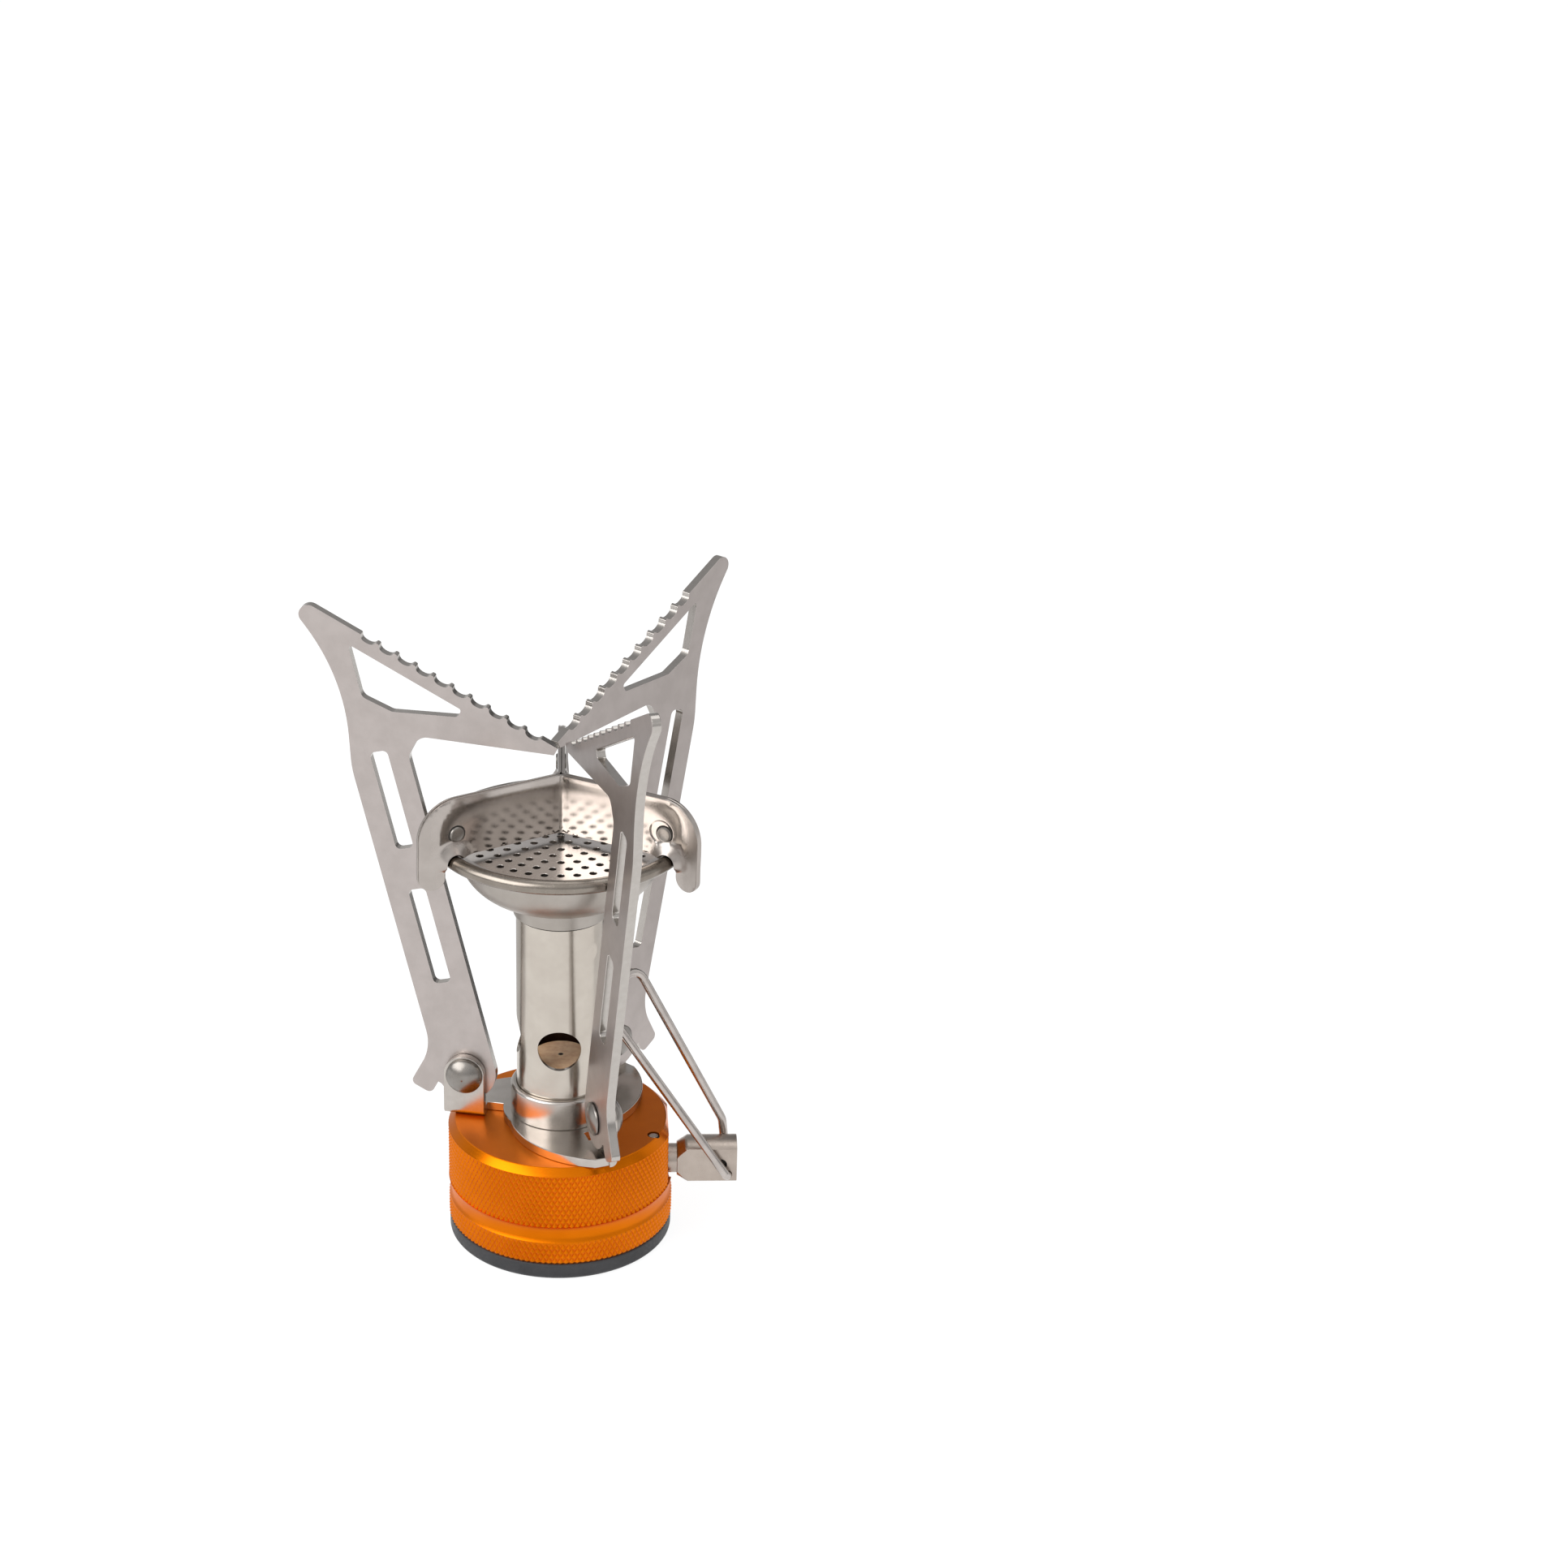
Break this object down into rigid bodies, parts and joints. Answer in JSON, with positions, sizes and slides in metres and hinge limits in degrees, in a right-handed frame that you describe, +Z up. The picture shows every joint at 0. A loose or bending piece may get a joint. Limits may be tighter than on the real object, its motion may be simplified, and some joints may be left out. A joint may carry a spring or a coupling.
{
  "type": "camping stove",
  "caption": "Folding gas stove that screws on a canister, with toothed pot supports, a windshield over a perforated burner, an air-drawing mixing tube and a valve with a wire handle.",
  "frame": {"origin": "on the burner axis, in the plane of the canister socket's mouth and of the base ring's underside", "axes": "+Z up the burner axis, +X along the valve spindle towards the knob"},
  "size_m": [0.0719, 0.073, 0.1104],
  "materials": {
    "orange_aluminium": "satin orange anodised, two diamond-knurled bands",
    "black_rubber": "matt moulded rubber",
    "seal_rubber": "smooth rubber",
    "brass": "turned, slightly tarnished",
    "plate_steel": "satin sheet with darker sheared edges",
    "polished_steel": "polished",
    "sheet_steel": "fine satin thin sheet",
    "wire_steel": "bright drawn wire",
    "turned_steel": "fine turned"
  },
  "bodies": {
    "stove": {"base_housing": "orange_aluminium", "base_ring": "black_rubber", "housing_pin": "turned_steel", "valve_block": "brass", "canister_seal": "seal_rubber", "depressor_pin": "brass", "gland_nut": "brass", "spindle_seal": "seal_rubber", "arm_bracket": "polished_steel", "arm_rivets": "polished_steel", "tube_collar": "polished_steel", "mixing_tube": "polished_steel", "jet": "brass", "burner_cup": "sheet_steel", "burner_plate": "sheet_steel", "windshield_rivets": "polished_steel", "windshield_right": "sheet_steel", "windshield_left": "sheet_steel", "windshield_front": "sheet_steel"},
    "arm_right": {"arm_right": "plate_steel"},
    "arm_left": {"arm_left": "plate_steel"},
    "arm_front": {"arm_front": "plate_steel"},
    "spindle": {"valve_spindle": "turned_steel", "valve_knob": "turned_steel", "knob_pin": "turned_steel"},
    "handle": {"valve_handle": "wire_steel"}
  },
  "joints": [
    {"name": "arm_right_fold", "type": "hinge", "parent": "stove", "child": "arm_right", "pos_m": [0.01067, 0.01165, 0.0286], "axis": [-0.7373, 0.6756, 0], "range_deg": [0, 27.6]},
    {"name": "arm_left_fold", "type": "hinge", "parent": "stove", "child": "arm_left", "pos_m": [-0.01543, 0.00342, 0.0286], "axis": [-0.2164, -0.9763, 0], "range_deg": [0, 27.6]},
    {"name": "arm_front_fold", "type": "hinge", "parent": "stove", "child": "arm_front", "pos_m": [0.00475, -0.01507, 0.0286], "axis": [0.9537, 0.3007, 0], "range_deg": [0, 27.6]},
    {"name": "valve_turn", "type": "hinge", "parent": "stove", "child": "spindle", "pos_m": [0.0198, 0, 0.0124], "axis": [1, 0, 0], "range_deg": [0, 25]},
    {"name": "handle_fold", "type": "hinge", "parent": "spindle", "child": "handle", "pos_m": [0.0284, 0, 0.0105], "axis": [0, 1, 0], "range_deg": [0, 123]}
  ]
}
